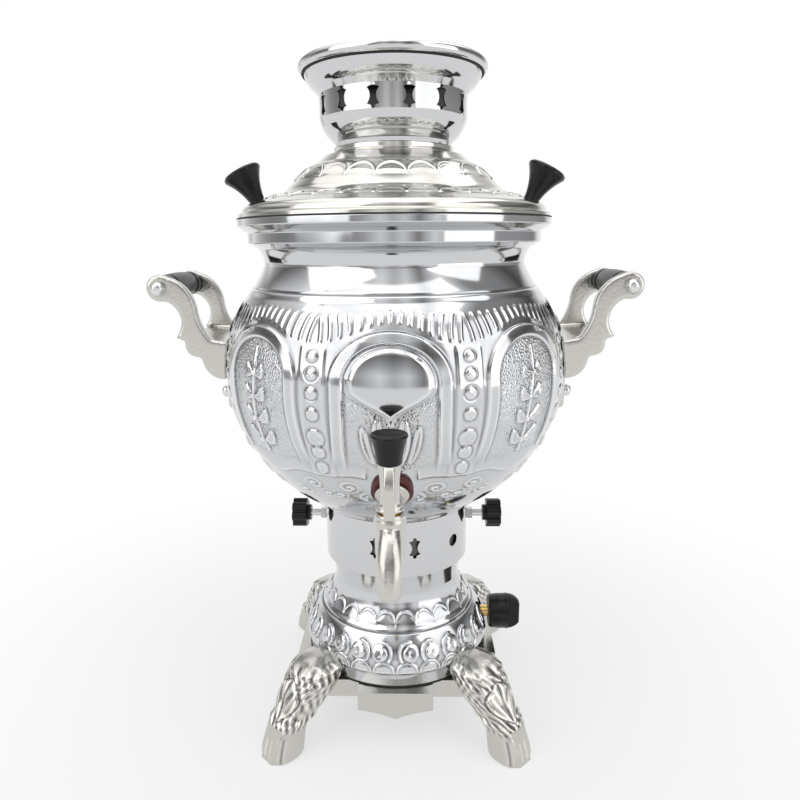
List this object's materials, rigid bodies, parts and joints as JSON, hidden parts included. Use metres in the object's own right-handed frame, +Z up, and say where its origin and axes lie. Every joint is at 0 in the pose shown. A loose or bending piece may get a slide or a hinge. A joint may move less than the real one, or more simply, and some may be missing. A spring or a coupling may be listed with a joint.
{
  "type": "gas samovar",
  "caption": "Samovar: bulbous water tank round a central flue, lid and pierced crown, tap, side handles and a four-legged stand with a gas burner.",
  "frame": {"origin": "on the axis of tank and flue, in the plane of the feet", "axes": "+Z up, tap looks toward -Y, gas knob toward +X"},
  "size_m": [0.3406, 0.3003, 0.481],
  "materials": {
    "sheet": "polished chrome on spun sheet",
    "lid_sheet": "polished nickel, slightly warm",
    "inner_sheet": "plain sheet inside",
    "cast": "polished nickel on casting",
    "steel": "zinc plated",
    "black": "gloss phenolic",
    "brass": "turned",
    "iron": "cast",
    "fibre": "red-brown rubber"
  },
  "bodies": {
    "base": {"stand_casting": "cast", "base_shell": "sheet", "base_screw_1": "steel", "base_screw_2": "steel", "base_screw_3": "steel", "base_screw_4": "steel", "shroud": "sheet", "shroud_nut_left": "steel", "shroud_nut_right": "steel", "burner_bracket": "steel", "strap_screw_front": "steel", "strap_screw_rear": "steel", "burner_tube": "steel", "burner_head": "iron", "burner_cap": "brass", "gas_valve_body": "brass", "gas_jet": "brass", "gas_pipe": "brass", "gas_inlet_nozzle": "brass", "gas_inlet_nut": "brass"},
    "gas_control": {"gas_knob": "black", "gas_spindle": "brass"},
    "thumb_screw_left": {"thumb_stud_left": "steel", "thumb_knob_left": "black"},
    "thumb_screw_right": {"thumb_stud_right": "steel", "thumb_knob_right": "black"},
    "tank": {"tank_shell": "sheet", "tank_floor": "inner_sheet", "tank_foot_ring": "inner_sheet", "flue_tube": "inner_sheet", "handle_bracket_left": "cast", "handle_grip_left": "black", "handle_rod_left": "steel", "handle_nut_left": "steel", "lug_screw_left": "steel", "lug_nut_left": "steel", "handle_bracket_right": "cast", "handle_grip_right": "black", "handle_rod_right": "steel", "handle_nut_right": "steel", "lug_screw_right": "steel", "lug_nut_right": "steel", "tap_body": "cast", "tap_gasket_outer": "fibre", "tap_gasket_inner": "fibre", "tap_back_nut": "brass"},
    "tap_control": {"tap_plug": "brass", "tap_key": "cast", "tap_knob": "black", "tap_washer": "brass", "tap_tail_nut": "brass"},
    "lid": {"lid_shell": "lid_sheet", "lid_knob_left": "black", "lid_knob_right": "black", "lid_knob_screw_left": "steel", "lid_knob_screw_right": "steel"},
    "crown": {"crown_shell": "sheet"}
  },
  "joints": [
    {"name": "gas_turn", "type": "hinge", "parent": "base", "child": "gas_control", "pos_m": [0.087, 0, 0.066], "axis": [1, 0, 0], "range_deg": [0, 90]},
    {"name": "thumb_turn_left", "type": "hinge", "parent": "base", "child": "thumb_screw_left", "pos_m": [-0.07, 0, 0.1526], "axis": [-1, 0, 0], "range_deg": [0, 360]},
    {"name": "thumb_turn_right", "type": "hinge", "parent": "base", "child": "thumb_screw_right", "pos_m": [0.07, 0, 0.1526], "axis": [1, 0, 0], "range_deg": [0, 360]},
    {"name": "tank_lift", "type": "slide", "parent": "base", "child": "tank", "axis": [0, 0, 1], "range_m": [0, 0.06]},
    {"name": "tap_turn", "type": "hinge", "parent": "tank", "child": "tap_control", "pos_m": [0, -0.15, 0.203], "axis": [0, 0, 1], "range_deg": [0, 90]},
    {"name": "lid_lift", "type": "slide", "parent": "tank", "child": "lid", "axis": [0, 0, 1], "range_m": [0, 0.06]},
    {"name": "crown_lift", "type": "slide", "parent": "lid", "child": "crown", "axis": [0, 0, 1], "range_m": [0, 0.06]}
  ]
}
